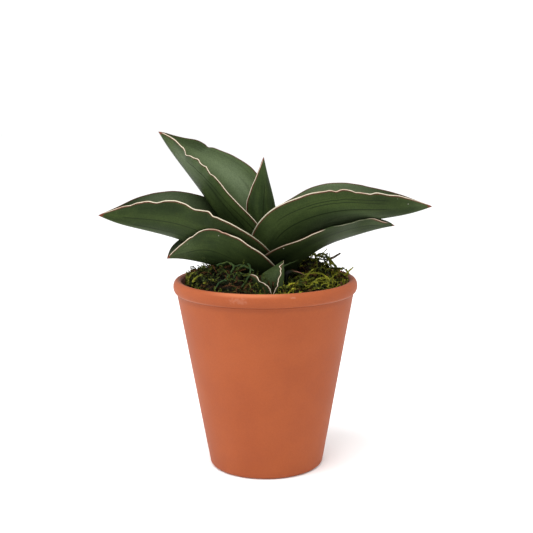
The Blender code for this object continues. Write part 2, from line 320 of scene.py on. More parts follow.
terracottaFinish = dict(
    clay=colour(0.275, 0.06, 0.016),
    warm=colour(0.305, 0.07, 0.019),
    dark=colour(0.18, 0.036, 0.012),
    # a pale salt colour for the salt marks, also used for the painted highlight on the bead's lip
    salt=colour(0.56, 0.33, 0.25),
    damp=colour(0.24, 0.062, 0.018),
    # a lighter clay for the painted highlight on the rim's top
    worn=colour(0.46, 0.14, 0.055),
    specks=colour(0.2, 0.05, 0.025),
    # pale marks on the rim: bearing from the front, height, width and depth (mm), strength
    saltMarks=((-15.0, 130.6, 14.0, 5.0, 0.11), (15.5, 132.6, 4.5, 1.4, 0.2)),
    wornPlace=(-0.012, -0.063, 0.1348),
    darkSpeck=(-0.038, -0.042, 0.089),
    # where the painted shade in the crease and the painted highlight on its lip fade in and out going up
    # (m)
    crease=(0.121, 0.1242, 0.125, 0.126),
    lip=(0.125, 0.1257, 0.126, 0.1272),
    # the inner wall's radius at the base (m), and how much it widens with height
    innerWall=(0.038, 0.1764),
)


def makeTerracotta():
    values = terracottaFinish
    material = openMaterial(
        "terracotta", Specular_IOR_Level=0.25, Sheen_Weight=0.05, Sheen_Roughness=0.4)
    place = objectPlace()
    x, y, z = split(place)
    grain = useGroup(grainGroup, place, 2600, 22)
    mottle = noiseAt(place, 130, 5, 0.65)
    shade = grain["Shade"] * 0.7 + mottle * 0.3
    base = blend(remap(shade, 0.35, 0.65), values["clay"], values["warm"])
    base = shaded(base, remap(noiseAt(place, 900, 3, 0.7), 0.3, 0.7, 0.95, 1.04))
    # the crease under the bead is darkened with painted shade, and its lower lip is lightened at the sides
    # with a painted highlight
    crease = between(z, *values["crease"])
    base = blend(crease * 0.3, base, values["dark"])
    lip = between(z, *values["lip"])
    base = blend(lip * remap(abs(x), 0.02, 0.055, 0, 0.18), base, values["salt"])
    for bearing, height, wide, tall, strength in values["saltMarks"]:
        angle = math.radians(bearing)
        middle = (0.065 * math.sin(angle), -0.065 * math.cos(angle), height / 1000)
        offset = vectorCalc("SUBTRACT", place, middle)
        scaled = vectorCalc("MULTIPLY", offset, (2000 / wide, 600 / wide, 2000 / tall))
        ragged = noiseAt(place, 600, 3) * 3 + vectorCalc("LENGTH", scaled)
        base = blend(remap(ragged, 2.7, 1.7) * strength, base, values["salt"])
    # a painted highlight lightens the top of the rim at the front left
    near = vectorCalc("DISTANCE", place, values["wornPlace"])
    worn = remap(near, 0.006, 0.036, 0.75, 0) * remap(mottle * 0.0006 + z, 0.1324, 0.1347)
    base = blend(worn, base, values["worn"])
    # the inner wall is damp below the moss line
    radius = vectorCalc("LENGTH", vectorCalc("MULTIPLY", place, (1, 1, 0)))
    wallStart, widening = values["innerWall"]
    wall = z * widening + wallStart
    wet = remap(radius, wall - 0.0008, wall - 0.0014) * remap(mottle * 0.004 + z, 0.1335, 0.1305)
    base = blend(wet * remap(z, 0.003, 0.008) * 0.35, base, values["damp"])
    near = vectorCalc("DISTANCE", place, values["darkSpeck"])
    base = blend(remap(near, 0.0003, 0.0006, 0.8, 0), base, values["specks"])
    dots = useGroup(speckGroup, place, 110, 0.02, 0.05)
    base = blend(dots["Mask"] * 0.8, base, values["specks"])
    dressShader(base, mottle * 0.2 + 0.62, mottle * 0.8 + grain["Height"] * 0.5, 0.00012, 0.35)
    return material


mossFinish = dict(
    dark=colour(0.008, 0.012, 0.003),
    green=colour(0.036, 0.05, 0.008),
    olive=colour(0.13, 0.135, 0.01),
    bright=colour(0.27, 0.26, 0.02),
    brown=colour(0.06, 0.024, 0.008),
    blueGreen=colour(0.025, 0.052, 0.017),
)


def makeMossMaterial():
    values = mossFinish
    material = openMaterial("mossStrands", Specular_IOR_Level=0.12)
    tint = readAttribute("tint")
    place = objectPlace()
    # olive in clumps of a few millimetres, dark between them, and darker low down as painted shade
    clump = noiseAt(place, 190, 1) * 1.6 + readAttribute("olive") * 1.2
    level = readAttribute("tip") * 0.25 + (tint * 0.5 + (clump - 1.2))
    skin = values["dark"]
    for low, high, name in ((0.0, 0.45, "green"), (0.45, 0.95, "olive"), (0.95, 1.5, "bright")):
        skin = blend(remap(level, low, high), skin, values[name])
    isBrown = calc("LESS_THAN", calc("FRACT", tint * 7.31), readAttribute("brown"))
    skin = blend(isBrown * 0.9, skin, values["brown"])
    skin = blend(readAttribute("blueGreen"), skin, values["blueGreen"])
    # painted shade: the lower a strand point sits above the bed, the darker it is
    lit = remap(readAttribute("high"), 0, 0.9, 0.3, 1.1)
    mottled = lit * remap(noiseAt(place, 900), 0.3, 0.7, 0.7, 1.3)
    rough = remap(mottled, 0.3, 1.4, 0.85, 0.6)
    dressShader(shaded(skin, mottled), rough, noiseAt(place, 2500), 0.0002, 0.5)
    return material


# Earthy finishes: dark colour, pale colour, how fine the grain is, and its depth (m)
earthFinishes = dict(
    mossBed=(colour(0.008, 0.008, 0.004), colour(0.028, 0.015, 0.006), 900.0, 0.002),
    soilEarth=(colour(0.028, 0.018, 0.011), colour(0.09, 0.062, 0.04), 700.0, 0.0015),
    stalkBrown=(colour(0.09, 0.065, 0.04), colour(0.16, 0.125, 0.085), 1500.0, 0.0003),
    rhizomeTan=(colour(0.12, 0.07, 0.035), colour(0.3, 0.2, 0.1), 500.0, 0.0006),
)


def makeEarthMaterial(name, dark, pale, fineScale, depth):
    material = openMaterial(name, Specular_IOR_Level=0.2)
    grain = useGroup(grainGroup, objectPlace(), fineScale, 90)
    shade = grain["Height"] * 0.6 + grain["Shade"] * 0.4
    rough = remap(grain["Height"], 0.3, 0.7, 0.95, 0.8)
    dressShader(blend(remap(shade, 0.4, 0.68), dark, pale), rough, grain["Height"], depth, 1)
    return material


leafSkin = makeLeafMaterial("leafSkin", lineWidth=0.0006, streaks=5.0, tipShare=1.0)
pupSkin = makeLeafMaterial("pupLeafSkin", lineWidth=0.0002, streaks=2.5, tipShare=0.2)
terracotta = makeTerracotta()
mossGreen = makeMossMaterial()
earth = {name: makeEarthMaterial(name, *finish) for name, finish in earthFinishes.items()}
print("finishes made")


# Making pieces

def linked(name, data):
    thing = bpy.data.objects.new(name, data)
    bpy.context.scene.collection.objects.link(thing)
    return thing


def placePiece(mesh, name, node, material=None, smooth=None):
    mesh.name = name
    piece = linked(name, mesh)
    if material:
        mesh.materials.clear()
        mesh.materials.append(material)
    if smooth is not None:
        mesh.shade_smooth()
        mesh.set_sharp_from_angle(angle=math.radians(smooth))
    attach(piece, "root")
    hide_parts(node)
    return piece


def meshFrom(name, vertices, faces, edges=()):
    mesh = bpy.data.meshes.new(name)
    mesh.from_pydata([tuple(map(float, v)) for v in vertices], list(edges), faces)
    mesh.update()
    return mesh


def outwardNormals(mesh):
    shape = bmesh.new()
    shape.from_mesh(mesh)
    bmesh.ops.recalc_face_normals(shape, faces=shape.faces)
    shape.to_mesh(mesh)
    shape.free()


def storePoints(mesh, **layers):
    for name, values in layers.items():
        layer = mesh.attributes.new(name, "FLOAT", "POINT")
        layer.data.foreach_set("value", np.broadcast_to(values, len(mesh.vertices)).astype(np.float32))


def runTree(name, mesh, tree, inputs):
    # the tree's result on a mesh, as a new plain mesh
    holder = linked(name, mesh)
    modifier = holder.modifiers.new("tree", "NODES")
    modifier.node_group = tree
    for item in tree.interface.items_tree:
        if item.in_out == "INPUT" and item.name in inputs:
            modifier[item.identifier] = inputs[item.name]
    bpy.context.view_layer.update()
    result = bpy.data.meshes.new_from_object(
        holder.evaluated_get(bpy.context.evaluated_depsgraph_get()))
    holder.modifiers.remove(modifier)
    bpy.data.objects.remove(holder)
    return result


def closeShape(geometry, material):
    # every shape tree ends in real geometry with its material
    real = shapeNode("RealizeInstances", {0: geometry})[0]
    return closeGroup(Geometry=shapeNode("SetMaterial", {"Geometry": real, "Material": material})[0])


# Leaves. The same rule and values as the CAD leaves, on a finer mesh: the length in
# metres, the lists in degrees and spread evenly along the leaf. The rest is looks:
# ripples: side, place along the leaf, spread, and how far the margin moves out (mm)
# band: width of the pale margin (mm), then how light the green is, its own tone with painted
# shade and light, and flush: how pink the band is, each spread evenly along the leaf
# the spots of painted light: outer 0 or inner 1, place along and across, spread along and
# across, and strength, which paints shade, darkening the leaf, where it is below zero
# lines: three dark, A to C, and a pale D that is a painted highlight: across at its start and end, its
# start and end

leafValues = {
    "leafSpear": dict(
        node="leaf_spear",
        sheath=0.0032, length=0.104, halfWidth=0.023, widest=0.66,
        heading=(0, -11, -17, 1), climb=(81, 81, 93, 103, 102),
        turn=(0, 0, -1, 0), fold=(103, 108, 108, 79, 42), roundTo=0.6,
        ripples=((1, 0.72, 0.04, 0.4), (1, 0.6, 0.03, -0.4), (-1, 0.55, 0.12, 0.9)),
        band=(0.3, 0.35, 0.4, 0.35), toneAndShading=(0.45, 0.85, 1.3, 1.08, 1.05), flush=(0.1, 0.2, 0.3, 0.5),
        blooms=((0, 0.72, 0.25, 0.2, 0.2, -0.32),),
        # the spear's dark line A is painted shade along its centre ridge
        lines=dict(A=(0.15, 0.1, 0.45, 0.85), B=(0.62, 0.4, 0.4, 0.8))),
    "leafLeftBack": dict(
        node="leaf_left_back",
        sheath=0.0058, length=0.146, halfWidth=0.042, widest=0.53,
        heading=(164, 152, 150, 167), climb=(78, 68, 52, 48, 46, 59),
        turn=(8, 2, 0, 3), fold=(113, 114, 76, 68, 57, 69),
        ripples=(
            (-1, 0.8, 0.016, 0.5), (-1, 0.75, 0.018, -1.8), (-1, 0.68, 0.017, 1.4),
            (-1, 0.622, 0.01, 0.8), (-1, 0.583, 0.016, -1.0),
            (1, 0.86, 0.045, 2.2), (1, 0.8, 0.012, -1.3)),
        band=(0.3, 0.35, 0.5, 0.65, 0.7, 0.5), toneAndShading=(0.45, 0.62, 0.95, 1.1, 0.98, 0.85),
        flush=(0.1, 0.1, 0.1, 0.1, 0.2, 0.3),
        blooms=(
            (1, 0.55, 0.68, 0.14, 0.22, 0.85), (1, 0.77, 0.6, 0.14, 0.4, 0.42),
            (0, 0.7, -0.75, 0.14, 0.25, 0.5), (0, 0.85, -0.5, 0.1, 0.4, 0.2)),
        lines=dict(A=(-0.72, -0.72, 0.33, 0.56), B=(-0.86, -0.76, 0.3, 0.72))),
    "leafRightLong": dict(
        node="leaf_right_long",
        sheath=0.0083, length=0.141, halfWidth=0.043, widest=0.36,
        heading=(-7, -7, 0, -3), climb=(73, 67, 31, 9, 9, 21),
        turn=(-2, 0, 1, 1), fold=(124, 108, 77, 71, 78, 124),
        ripples=(
            (1, 0.655, 0.045, -1.6), (1, 0.53, 0.012, 0.5), (1, 0.55, 0.012, -1.0),
            (1, 0.6, 0.014, -0.4), (1, 0.622, 0.012, -0.9), (1, 0.69, 0.018, -0.8),
            (-1, 0.37, 0.07, -2.8)),
        band=(0.9, 0.95, 0.75, 0.6, 0.6, 0.3), toneAndShading=(0.34, 0.57, 0.85, 0.86, 0.64, 0.8),
        flush=(0, 0.1, 0.3, 0.45, 0.3, 0.3),
        blooms=(
            (1, 0.52, -0.9, 0.25, 1.2, 0.7), (0, 0.95, 0.4, 0.06, 0.6, 0.25),
            (0, 0.58, 0.22, 0.17, 0.25, 1.0), (0, 0.68, 0.65, 0.08, 0.3, -0.15)),
        lines=dict(
            A=(0.8, 0.8, 0.36, 0.76), B=(0.75, 0.7, 0.46, 0.74), C=(0.6, 0.52, 0.3, 0.75),
            D=(0.15, 0.2, 0.46, 0.7))),
    "leafLeftLong": dict(
        node="leaf_left_long",
        sheath=0.0108, length=0.131, halfWidth=0.044, widest=0.44,
        heading=(199, 183, 184, 203), climb=(85, 46, 27, 17, 15, 28),
        turn=(4, -1, -4, -4), fold=(123, 80, 65, 75, 88, 118),
        ripples=(
            (-1, 0.715, 0.035, -1.4), (-1, 0.625, 0.02, 0.4), (-1, 0.53, 0.032, -1.9),
            (-1, 0.465, 0.014, 0.6), (-1, 0.44, 0.012, -0.9), (-1, 0.86, 0.02, -0.8),
            (1, 0.55, 0.03, -0.5)),
        band=(0.5, 0.6, 0.7, 0.65, 0.5, 0.3), toneAndShading=(0.3, 0.38, 0.6, 0.74, 0.72, 0.68),
        flush=(0, 0, 0.1, 0.15, 0.4, 0.45),
        blooms=((0, 0.62, -0.15, 0.25, 0.25, 0.25), (1, 0.68, 0.7, 0.2, 1.2, 0.85)),
        lines=dict(A=(-0.6, -0.5, 0.42, 0.86), B=(-0.33, -0.28, 0.5, 0.8))),
    "leafRightLow": dict(
        node="leaf_right_low",
        sheath=0.0133, length=0.103, halfWidth=0.039, widest=0.32,
        heading=(-9, -4, 5, 5), climb=(79, 60, 37, 18, 15, 8),
        turn=(-2, 1, -2, 3), fold=(121, 78, 42, 40, 50, 51),
        ripples=((1, 0.66, 0.08, -1.5), (1, 0.84, 0.06, 0.9)),
        # painted shade: the band is kept narrow so that it shows dimly, and it is left out where below zero
        band=(0.3,) * 7 + (0.38,) * 3 + (0.4, -0.3) + (-0.1,) * 5 + (0.1, 0.4, -0.1, -0.3),
        toneAndShading=(0.12, 0.15, 0.38, 0.66, 0.62, 0.8), flush=(0, 0, 0.1, 0.2, 0.4, 0.6),
        blooms=((0, 0.62, 0.3, 0.11, 0.7, 0.32), (0, 0.86, 0.9, 0.06, 0.6, 0.4)),
        lines=dict(A=(0.7, 0.65, 0.4, 0.85))),
    "leafLeftLow": dict(
        node="leaf_left_low",
        sheath=0.0158, length=0.071, halfWidth=0.038, widest=0.55,
        heading=(205, 197, 175, 202), climb=(83, 59, 34, 15, 10, 1),
        turn=(1, 3, 8, 0), fold=(123, 70, 57, 64, 59, 71),
        ripples=((-1, 0.47, 0.03, 0.9), (-1, 0.83, 0.04, 0.8), (-1, 0.55, 0.012, -0.4)),
        band=(0.45, 0.6, 0.65, 0.5, 0.6, 0.45), toneAndShading=(0.16, 0.24, 0.5, 0.8, 0.8, 0.8),
        flush=(0, 0.05, 0.3, 0.6, 0.2, 0.3),
        blooms=((0, 0.85, -0.5, 0.16, 0.6, 0.2), (1, 0.9, 0.85, 0.15, 0.8, 1.0)),
        lines=dict(A=(-0.55, -0.5, 0.45, 0.8))),
}

# the pup leaves' looks, with their own painted light spots and painted shade
pupLooks = dict(
    band=(0.15, 0.2, 0.3, 0.25), toneAndShading=(0.35, 0.5, 0.7, 0.9), flush=(0, 0, 0.1, 0.3),
    blooms=((0, 0.56, 0.35, 0.08, 0.3, 0.7), (1, 0.7, 0.0, 0.3, 1.0, 0.3)),
    turn=(0, 0), ripples=(), lines={},
)

pupValues = {
    "pupLeafRight": dict(
        node="pup_leaf_right", place=(0.0078, -0.042),
        sheath=0.0024, length=0.036, halfWidth=0.013, widest=0.42,
        heading=(26, 26), climb=(84, 83, 86, 92),
        fold=(112, 86, 62, 54), leftShare=(1, 1, 1.3, 1.6, 1.25),
        plainSide=-1,
        ripples=(
            (1, 0.905, 0.035, 2.0), (1, 0.83, 0.03, 0.9), (1, 0.68, 0.05, 0.7),
            (1, 0.55, 0.04, -0.4), (-1, 0.7, 0.05, 0.4))),
    "pupLeafLeft": dict(
        node="pup_leaf_left", place=(0.004, -0.043),
        sheath=0.008, length=0.029, halfWidth=0.0095, widest=0.45,
        heading=(208, 204, 195, 180), climb=(88, 80, 70, 60),
        fold=(85, 72, 66, 60), band=(0.2, 0.25, 0.3, 0.1), toneAndShading=(0.2, 0.3, 0.45, 0.45),
        ripples=((-1, 0.92, 0.08, 1.7), (-1, 0.6, 0.12, 1.5), (-1, 0.79, 0.035, -0.7))),
    # the slender and the small pup leaf are painted almost black over their lower part, as painted shade
    "pupLeafSlender": dict(
        node="pup_leaf_slender", place=(0.0096, -0.0335),
        sheath=0.0012, length=0.042, halfWidth=0.002, widest=0.4,
        heading=(10, 10, 5, 5), climb=(90, 90, 90, 90, 90, 84, 30, 27, 25),
        fold=(100, 80, 60, 50),
        band=(-0.4, -0.4), toneAndShading=(0.1, 0.1, 0.15, 0.9, 1.1)),
    "pupLeafSmall": dict(
        node="pup_leaf_small", place=(0.0136, -0.0395),
        sheath=0.0014, length=0.037, halfWidth=0.005, widest=0.45,
        heading=(60, 50, 25, 10), climb=(88, 88, 88, 88, 88, 70, 10, -12, -20),
        fold=(110, 75, 60, 50),
        band=(-0.4,) * 8 + (0.3, 0.35, 0.3), toneAndShading=(0.04,) * 8 + (0.3, 0.4, 0.5), flush=(1, 1),
        blooms=()),
}

tissueValues = dict(
    leafBase=0.118,
    keel=0.003,
    edge=0.0007,
    sheath=0.0013,
    sheathShare=0.3,
    keelToWidth=0.2,
    edgeToWidth=0.14,
    bendShare=0.3,
    sectionRoundness=(1, 0.6, 0.4, 0.35, 0.35),
    pointBluntness=0.9,
    pointTaper=0.12,
)


def eased(values, places):
    # values spread evenly over 0 to 1, read at the places with a smooth curve
    values = np.asarray(values, float)
    last = len(values) - 1
    x = np.clip(places, 0, 1) * last
    i = np.minimum(x.astype(int), last - 1)
    t = x - i
    before, start, end, after = (values[np.clip(i + k, 0, last)] for k in (-1, 0, 1, 2))
    return (
        (2 * t**3 - 3 * t**2 + 1) * start + (t**3 - 2 * t**2 + t) * (end - before) / 2
        + (3 * t**2 - 2 * t**3) * end + (t**3 - t**2) * (after - start) / 2)


def bladeOutline(places, base, widest):
    tissue = tissueValues
    rising = base + (1 - base) * np.sin(np.clip(places / widest, 0, 1) * math.pi / 2)
    x = np.clip((places - widest) / (1 - widest), 0, 1)
    falling = (1 - x**2) ** tissue["pointBluntness"] * (1 - tissue["pointTaper"] * x)
    return np.where(places < widest, rising, falling)


def foldedSection(fold, roundness, across):
    # one side of a section of unit half width: points and slopes of its outer face
    bend = tissueValues["bendShare"]
    steps = np.linspace(0, 1, 129)
    sharp = np.tanh(steps / bend) / math.tanh(1 / bend)
    slope = fold * (roundness * steps + (1 - roundness) * sharp)
    middle = (slope[1:] + slope[:-1]) / 2
    out = np.concatenate([[0], np.cumsum(np.cos(middle) * np.diff(steps))])
    up = np.concatenate([[0], np.cumsum(np.sin(middle) * np.diff(steps))])
    return [np.interp(across, steps, line) for line in (out, up, slope)]


def rippleOf(leaf, place, side, number):
    # how far a margin is moved outwards at a place (m)
    shift = 0.0
    for rippleSide, middle, spread, height in leaf["ripples"]:
        if rippleSide == side:
            shift += height / 1000 * math.exp(-((place - middle) / spread) ** 2)
    # every margin is a little uneven
    rise = min(1, max(0, (place - 0.25) / 0.2))
    return shift + 0.0005 * rise * noise.noise(Vector((place * 16, side * 3, number)))


def looksOf(leaf, along, across, side, width):
    # the leaf's painted light and painted shade, and how far each of its own lines is and how much it shows
    paintedLight = np.zeros(len(along))
    for spotSide, s, u, spreadAlong, spreadAcross, strength in leaf["blooms"]:
        near = np.exp(-((along - s) / spreadAlong) ** 2 - ((across - u) / spreadAcross) ** 2)
        paintedLight += strength * near * (np.round(side) == spotSide)
    paintedLight = np.clip(paintedLight, -1, 1)
    looks = dict(
        paintedLight=np.maximum(paintedLight, 0), toneAndShading=eased(leaf["toneAndShading"], along) * (1 + np.minimum(paintedLight, 0)))
    for letter in "ABCD":
        start, end, first, last = leaf["lines"].get(letter, (0, 0, 2, 2))
        share = np.clip((along - first) / max(0.001, last - first), 0, 1)
        outside = np.maximum(0, np.maximum(first - along, along - last))
        looks["line" + letter] = (across - (start + (end - start) * share)) * width
        looks["show" + letter] = np.maximum(0, 1 - outside / 0.04) * (side == 0)
    return looks


def makeLeaf(name, leaf, number, material, stations, sideSteps):
    tissue = tissueValues
    places = np.linspace(0, 1, stations + 1)
    fine = np.linspace(0, 1, 481)
    heading, climb = (np.radians(eased(leaf[key], fine)) for key in ("heading", "climb"))
    run = np.stack([
        np.cos(climb) * np.cos(heading), np.cos(climb) * np.sin(heading), np.sin(climb)], 1)
    path = np.zeros((len(fine), 3))
    path[1:] = np.cumsum((run[1:] + run[:-1]) / 2 * leaf["length"] / 480, 0)
    way = math.radians(leaf["heading"][0])
    centre = leaf.get("place", (0, 0))
    path += (
        centre[0] + leaf["sheath"] * math.cos(way),
        centre[1] + leaf["sheath"] * math.sin(way),
        tissue["leafBase"])
    keel = np.stack([np.interp(places, fine, path[:, k]) for k in range(3)], 1)
    heading, climb, turn, fold = (
        np.radians(eased(leaf[key], places)) for key in ("heading", "climb", "turn", "fold"))
    roundness = np.maximum(eased(tissue["sectionRoundness"], places), leaf.get("roundTo", 0))
    leftShare = eased(leaf.get("leftShare", (1, 1)), places)
    base = leaf["sheath"] * fold[0] / leaf["halfWidth"]
    width = leaf["halfWidth"] * bladeOutline(places, base, leaf["widest"])
    # closer steps towards the margins
    half = 1 - (1 - np.linspace(0, 1, sideSteps + 1)) ** 1.7
    across = np.concatenate([-half[::-1], half[1:]])
    hand = np.where(across > 0, 1, -1)
    marginShare = np.maximum(0, (np.abs(across) - 0.6) / 0.4) ** 1.8
    beads = np.array((0.25, 0.5, 0.75))
    rows = []
    for i in range(stations):
        # the cut base stands level, and eases into the blade's own lean
        level = max(0, 1 - places[i] / 0.05)
        lift = climb[i] + (math.pi / 2 - climb[i]) * level
        spin = turn[i] * (1 - level)
        forward = np.array([math.cos(heading[i]), math.sin(heading[i]), 0])
        upward = np.array([0, 0, 1])
        ahead = math.cos(lift) * forward + math.sin(lift) * upward
        inward = math.cos(lift) * upward - math.sin(lift) * forward
        sideways = np.cross(ahead, inward)
        inner = inward * math.cos(spin) + sideways * math.sin(spin)
        side = sideways * math.cos(spin) - inward * math.sin(spin)
        inSheath = max(0, 1 - places[i] / tissue["sheathShare"])
        keelDepth = tissue["keel"] + (tissue["sheath"] - tissue["keel"]) * inSheath
        keelDepth = min(keelDepth, tissue["keelToWidth"] * width[i])
        edgeDepth = min(tissue["edge"], tissue["edgeToWidth"] * width[i])
        depth = edgeDepth + (keelDepth - edgeDepth) * (1 - np.abs(across) ** 1.5)
        outs, ups, slopes = foldedSection(fold[i], roundness[i], np.abs(across))
        left, right = (rippleOf(leaf, places[i], k, number) * 0.71 for k in (-1, 1))
        shift = marginShare * np.where(hand > 0, right, left)
        span = width[i] * np.where(hand > 0, 1, leftShare[i])
        tangents = np.outer(hand * np.cos(slopes), side) + np.outer(np.sin(slopes), inner)
        normals = np.outer(np.cos(slopes), inner) - np.outer(hand * np.sin(slopes), side)
        outer = keel[i] + np.outer(span * hand * outs, side) + np.outer(span * ups, inner)
        outer = outer + shift[:, None] * (normals + tangents)
        inside = outer + depth[:, None] * normals
        caps = []
        for end, order in ((-1, beads), (0, beads[::-1])):
            reach = (inside[end] - outer[end]) / 2
            bulge = np.linalg.norm(reach) * tangents[end]
            caps.append(
                (outer[end] + inside[end]) / 2 - np.outer(np.cos(math.pi * order), reach)
                + np.outer(np.sin(math.pi * order), bulge))
        rows += [outer, caps[0], inside[::-1], caps[1]]
    size = 2 * len(across) + 2 * len(beads)
    last = (stations - 1) * size
    faces = []
    for start in range(0, last, size):
        for j in range(size):
            k = (j + 1) % size
            faces.append((start + j, start + k, start + size + k, start + size + j))
    faces.append(tuple(range(size))[::-1])
    faces += [(last + j, last + (j + 1) % size, last + size) for j in range(size)]
    mesh = meshFrom(name, np.concatenate(rows + [keel[-1:]]), faces)
    # where each point lies on the leaf, which the material reads
    along = np.append(np.repeat(places[:-1], size), 1)
    wide = np.append(np.repeat(width[:-1], size), 0)
    edge = np.ones(len(beads))
    u = np.append(np.tile(np.concatenate([across, edge, across[::-1], -edge]), stations), 0)
    face = np.ones(len(across))
    innerSide = np.append(np.tile(np.concatenate([0 * face, beads, face, beads[::-1]]), stations), 0.5)
    plain = u * leaf.get("plainSide", 0) > 0
    storePoints(
        mesh, along=along, across=u, innerSide=innerSide, marginDistance=(1 - np.abs(u)) * wide,
        leafNumber=number * 3.7, flush=eased(leaf["flush"], along),
        bandWidth=np.where(plain, -0.4, eased(leaf["band"], along)) / 1000,
        **looksOf(leaf, along, u, innerSide, wide))
    outwardNormals(mesh)
    return placePiece(mesh, name, leaf["node"], material, 60)


leaves = [
    makeLeaf(name, leaf, number + 1, leafSkin, stations=170, sideSteps=18)
    for number, (name, leaf) in enumerate(leafValues.items())]
leaves += [
    makeLeaf(name, pupLooks | leaf, number + 11, pupSkin, stations=80, sideSteps=10)
    for number, (name, leaf) in enumerate(pupValues.items())]
print("leaves made:", len(leaves))


# The pot is turned from its outline by a geometry tree

potValues = dict(
    height=0.135,
    crestRadius=0.0622,
    bulge=0.003,
    rimDepth=0.0096,
    innerRadius=0.0593,
    baseRadius=0.041,
    baseRounding=0.003,
    neckRadius=0.0627,
    wall=0.005,
    floor=0.007,
    drainRadius=0.006,
    around=192,
    unevenness=0.00012,
)


def wallRadius(height):
    pot = potValues
    share = (height - pot["baseRounding"]) / (pot["height"] - pot["rimDepth"] - pot["baseRounding"])
    return pot["baseRadius"] + (pot["neckRadius"] - pot["baseRadius"]) * share


def potOutline():
    pot = potValues
    top = pot["height"]
    neck = top - pot["rimDepth"]
    beadHalf = pot["rimDepth"] / 2
    corner = pot["baseRounding"]
    flat = pot["baseRadius"] - corner
    outline = [(pot["drainRadius"], 0.0)]
    outline += [(r, 0.0) for r in np.linspace(0.01, flat, 8)]
    for angle in np.radians(np.linspace(15, 90, 6)):
        outline.append((flat + corner * math.sin(angle), corner - corner * math.cos(angle)))
    outline += [(wallRadius(z), z) for z in np.linspace(0.007, neck - 0.0012, 32)]
    # the crease under the bead
    outline += [(wallRadius(neck) + 0.0001, neck - 0.0005), (wallRadius(neck) + 0.0003, neck - 0.0001)]
    for angle in np.radians(np.linspace(-78, 90, 22)):
        outline.append((
            pot["crestRadius"] + pot["bulge"] * math.cos(angle),
            top - beadHalf + beadHalf * math.sin(angle)))
    for out, down in ((0.0015, 0.0002), (0.0006, 0.0008), (0.0001, 0.002), (0.0, 0.003)):
        outline.append((pot["innerRadius"] + out, top - down))
    outline += [(wallRadius(z) - pot["wall"], z) for z in np.linspace(0.122, pot["floor"], 24)]
    outline += [(r, pot["floor"]) for r in np.linspace(0.03, pot["drainRadius"], 5)]
    return [(r, 0.0, z) for r, z in outline]


def makeTurnedTree():
    source = openGroup("GeometryNodeTree", "turnedPot", {
        "Geometry": "Geometry", "Around": 192, "Unevenness": 0.0001, "Material": "Material"},
        ("Geometry",))
    outline = source["Geometry"]
    count = shapeNode("AttributeDomainSize", {0: outline})["Point Count"]
    rows = count + 1.0
    grid = shapeNode("MeshGrid", {
        "Size X": 1.0, "Size Y": 1.0, "Vertices X": source["Around"] + 1.0, "Vertices Y": rows})["Mesh"]
    index = shapeNode("InputIndex")[0]
    column = calc("FLOOR", (index + 0.5) / rows)
    row = calc("FLOORED_MODULO", index - column * rows, count)
    where = shapeNode("InputPosition")[0]
    sample = shapeNode("SampleIndex", {
        "Geometry": outline, "Value": where, "Index": row}, data_type="FLOAT_VECTOR", domain="POINT")[0]
    radius, height = split(sample)[::2]
    angle = column / source["Around"] * (2 * math.pi)
    sine = calc("SINE", angle)
    cosine = calc("COSINE", angle)
    place = joined(radius * cosine, radius * sine, height)
    lump = noiseAt(place, 45, 1) - 0.5
    shift = lump * source["Unevenness"] * remap(height, 0.002, 0.012)
    place = vectorCalc("ADD", place, vectorCalc("SCALE", joined(cosine, sine, 0), scale=shift))
    turned = shapeNode("SetPosition", {"Geometry": grid, "Position": place})[0]
    closed = shapeNode("MergeByDistance", {"Geometry": turned, "Distance": 0.000005})[0]
    return closeShape(closed, source["Material"])


outlinePoints = potOutline()
outlineMesh = meshFrom("potOutline", outlinePoints, [], [(i, i + 1) for i in range(len(outlinePoints) - 1)])
potMesh = runTree("potShape", outlineMesh, makeTurnedTree(), {
    "Around": potValues["around"], "Unevenness": potValues["unevenness"], "Material": terracotta})
outwardNormals(potMesh)
placePiece(potMesh, "clayPot", "pot", terracotta, 40)
print("pot made:", len(potMesh.polygons), "faces")


# Moss: a lumpy bed in each CAD pad's place, and strands that a geometry tree grows on it

mossValues = dict(
    bottom=0.118,
    edgeHeight=0.0035,
    rise=0.0115,
    lump=0.0045,
    lumpScale=130,
    innerRadius=0.0205,
    outerRadius=0.056,
    # where the bed has fallen away at both edges, and over what width
    fallOut=(0.0575, 0.008),
    fallIn=(0.0185, 0.006),
    # the pot's wall round the strands: radius at the bottom, widening, and the widest
    wall=(0.0558, 0.19, 0.0585),
    # where a look straight up for leaves starts, and how far it goes
    lookFrom=0.1185,
    lookLength=0.05,
    # the gap between two pads (degrees)
    seam=0.8,
    seed=5,
)

# What the strand tree takes (m)
strandValues = {
    "Density": 170000.0,
    "Length": 0.0105,
    "Length Spread": 0.45,
    "Stem Radius": 0.00036,
    "Curl": 0.0095,
    "Curl Scale": 130.0,
    "Lie": 0.1,
    "Leaflet Gap": 0.0005,
    "Leaflet Length": 0.0012,
}

# Each pad's CAD node, and the bearings between which it lies (degrees)
mossPads = dict(
    mossBackRight=("moss_back_right", 10, 92),
    mossBackLeft=("moss_back_left", 92, 172),
    mossFrontLeft=("moss_front_left", 172, 275),
    mossFrontRight=("moss_front_right", 275, 370),
)

# Mounds where the moss leans on the leaves: x, y, radius, height (mm)
mossMounds = (
    (-22, -30, 12, 10),
    (-38, -15, 11, 10),
    (-42, 8, 12, 5),
    (-9, -33, 6, 3),
    (-9, -47, 5, 2),
    (31, 1, 8, 17),
    (39, 5, 7, 7),
    (54, 4, 9, -3),
    (47, 23, 13, -1),
    (12, 44, 16, 3),
    (-22, 40, 14, 3),
)

